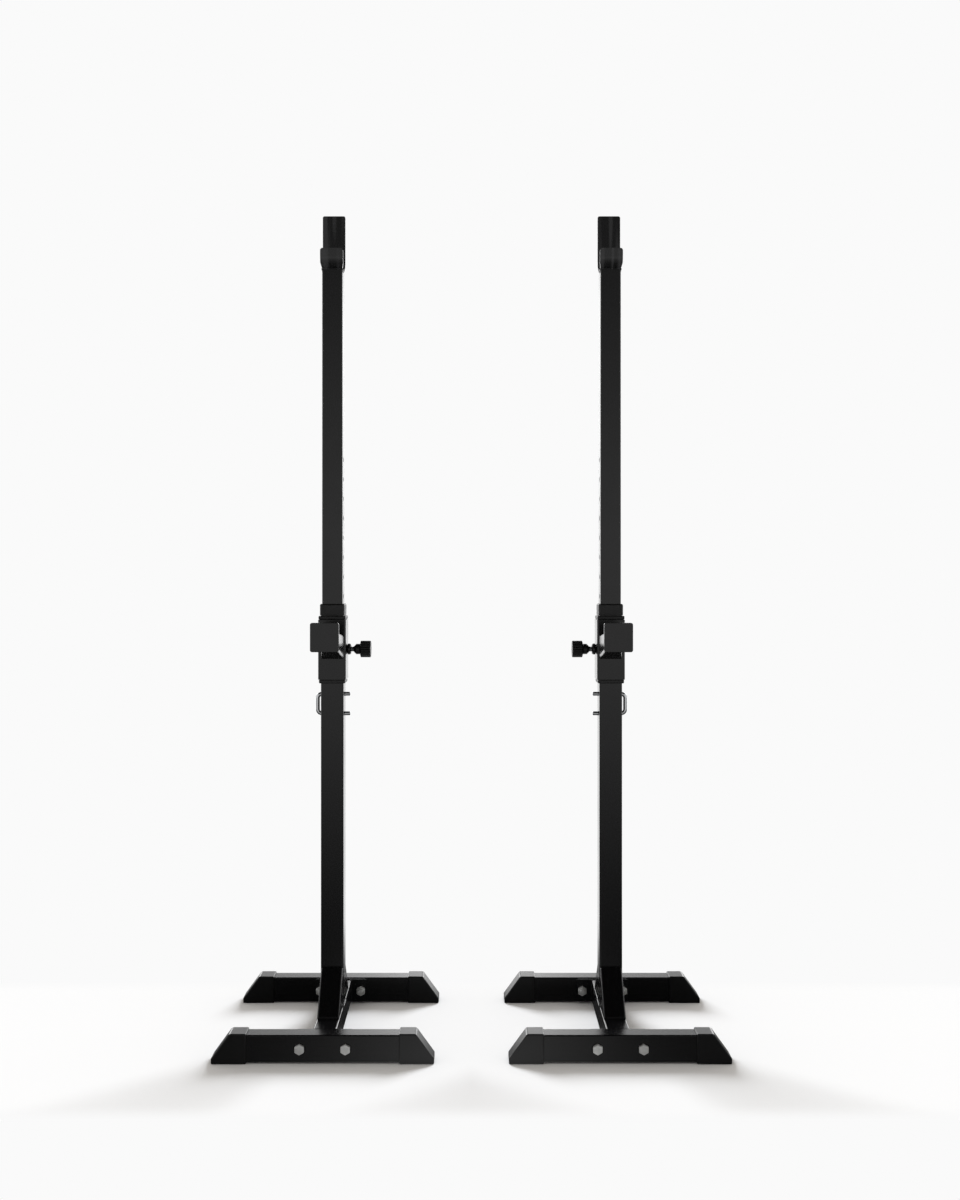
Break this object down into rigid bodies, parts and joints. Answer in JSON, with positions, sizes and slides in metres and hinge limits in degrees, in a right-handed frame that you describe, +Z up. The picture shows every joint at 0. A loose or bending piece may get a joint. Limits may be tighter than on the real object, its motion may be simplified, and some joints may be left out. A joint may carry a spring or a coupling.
{
  "type": "squat stand",
  "caption": "Pair of free-standing steel squat stands with telescoping uprights, J-shaped bar saddles and clamped bar catches.",
  "frame": {"origin": "on the floor, midway between the two uprights", "axes": "+Z up, +Y from the front, where the catches are, to the rear, and +X from the left stand to the right stand"},
  "size_m": [1.067, 0.4456, 1.7966],
  "materials": {
    "frame_paint": "satin black powder coat",
    "extension_paint": "satin black powder coat",
    "saddle_paint": "satin black powder coat, lightly rubbed",
    "catch_paint": "satin black powder coat",
    "cap_plastic": "fine moulded grain",
    "guide_plastic": "smooth moulded",
    "knob_plastic": "smooth moulded",
    "zinc_hardware": "bright zinc plate",
    "pin_chrome": "polished chrome",
    "stud_steel": "plain threaded steel"
  },
  "bodies": {
    "left_base": {"left_foot_front": "frame_paint", "left_foot_rear": "frame_paint", "left_cap_front_outer": "cap_plastic", "left_cap_front_inner": "cap_plastic", "left_cap_rear_outer": "cap_plastic", "left_cap_rear_inner": "cap_plastic", "left_bolt_front_outer": "zinc_hardware", "left_bolt_front_inner": "zinc_hardware", "left_bolt_rear_outer": "zinc_hardware", "left_bolt_rear_inner": "zinc_hardware", "left_nut_front_outer": "zinc_hardware", "left_nut_front_inner": "zinc_hardware", "left_nut_rear_outer": "zinc_hardware", "left_nut_rear_inner": "zinc_hardware", "left_base_beam": "frame_paint", "left_gusset_front": "frame_paint", "left_gusset_rear": "frame_paint", "left_upright": "frame_paint", "left_collar": "guide_plastic"},
    "left_extension_slide": {"left_extension": "extension_paint", "left_extension_plug": "guide_plastic", "left_bar_saddle": "saddle_paint"},
    "left_catch_slide": {"left_catch_sleeve": "catch_paint", "left_bush_upper": "guide_plastic", "left_bush_lower": "guide_plastic", "left_bar_catch": "catch_paint", "left_clamp_boss": "catch_paint"},
    "left_clamp_stud_travel": {"left_clamp_stud": "stud_steel"},
    "left_clamp_knob_turn": {"left_clamp_knob": "knob_plastic"},
    "left_lock_pin_travel": {"left_lock_pin": "pin_chrome"},
    "right_base": {"right_foot_front": "frame_paint", "right_foot_rear": "frame_paint", "right_cap_front_outer": "cap_plastic", "right_cap_front_inner": "cap_plastic", "right_cap_rear_outer": "cap_plastic", "right_cap_rear_inner": "cap_plastic", "right_bolt_front_outer": "zinc_hardware", "right_bolt_front_inner": "zinc_hardware", "right_bolt_rear_outer": "zinc_hardware", "right_bolt_rear_inner": "zinc_hardware", "right_nut_front_outer": "zinc_hardware", "right_nut_front_inner": "zinc_hardware", "right_nut_rear_outer": "zinc_hardware", "right_nut_rear_inner": "zinc_hardware", "right_base_beam": "frame_paint", "right_gusset_front": "frame_paint", "right_gusset_rear": "frame_paint", "right_upright": "frame_paint", "right_collar": "guide_plastic"},
    "right_extension_slide": {"right_extension": "extension_paint", "right_extension_plug": "guide_plastic", "right_bar_saddle": "saddle_paint"},
    "right_catch_slide": {"right_catch_sleeve": "catch_paint", "right_bush_upper": "guide_plastic", "right_bush_lower": "guide_plastic", "right_bar_catch": "catch_paint", "right_clamp_boss": "catch_paint"},
    "right_clamp_stud_travel": {"right_clamp_stud": "stud_steel"},
    "right_clamp_knob_turn": {"right_clamp_knob": "knob_plastic"},
    "right_lock_pin_travel": {"right_lock_pin": "pin_chrome"}
  },
  "joints": [
    {"name": "right_stand_spacing", "type": "slide", "parent": "left_base", "child": "right_base", "axis": [1, 0, 0], "range_m": [-0.15, 0.6]},
    {"name": "left_extension_height", "type": "slide", "parent": "left_base", "child": "left_extension_slide", "axis": [0, 0, 1], "range_m": [-0.516, 0]},
    {"name": "left_catch_height", "type": "slide", "parent": "left_base", "child": "left_catch_slide", "axis": [0, 0, 1], "range_m": [-0.0195, 0.001]},
    {"name": "left_clamp_advance", "type": "slide", "parent": "left_catch_slide", "child": "left_clamp_stud_travel", "axis": [1, 0, 0], "range_m": [0, 0.00525]},
    {"name": "left_clamp_turn", "type": "hinge", "parent": "left_clamp_stud_travel", "child": "left_clamp_knob_turn", "pos_m": [-0.242, 0, 0.8371], "axis": [1, 0, 0], "range_deg": [0, 1080]},
    {"name": "left_lock_pin_pull", "type": "slide", "parent": "left_base", "child": "left_lock_pin_travel", "axis": [-1, 0, 0], "range_m": [0, 0.09]},
    {"name": "right_extension_height", "type": "slide", "parent": "right_base", "child": "right_extension_slide", "axis": [0, 0, 1], "range_m": [-0.516, 0]},
    {"name": "right_catch_height", "type": "slide", "parent": "right_base", "child": "right_catch_slide", "axis": [0, 0, 1], "range_m": [-0.0195, 0.001]},
    {"name": "right_clamp_advance", "type": "slide", "parent": "right_catch_slide", "child": "right_clamp_stud_travel", "axis": [-1, 0, 0], "range_m": [0, 0.00525]},
    {"name": "right_clamp_turn", "type": "hinge", "parent": "right_clamp_stud_travel", "child": "right_clamp_knob_turn", "pos_m": [0.242, 0, 0.8371], "axis": [-1, 0, 0], "range_deg": [0, 1080]},
    {"name": "right_lock_pin_pull", "type": "slide", "parent": "right_base", "child": "right_lock_pin_travel", "axis": [1, 0, 0], "range_m": [0, 0.09]}
  ],
  "couplings": [
    {"joint": "left_clamp_turn", "follows": "left_clamp_advance", "rad_per_m": 3590.4},
    {"joint": "right_clamp_turn", "follows": "right_clamp_advance", "rad_per_m": 3590.4}
  ]
}
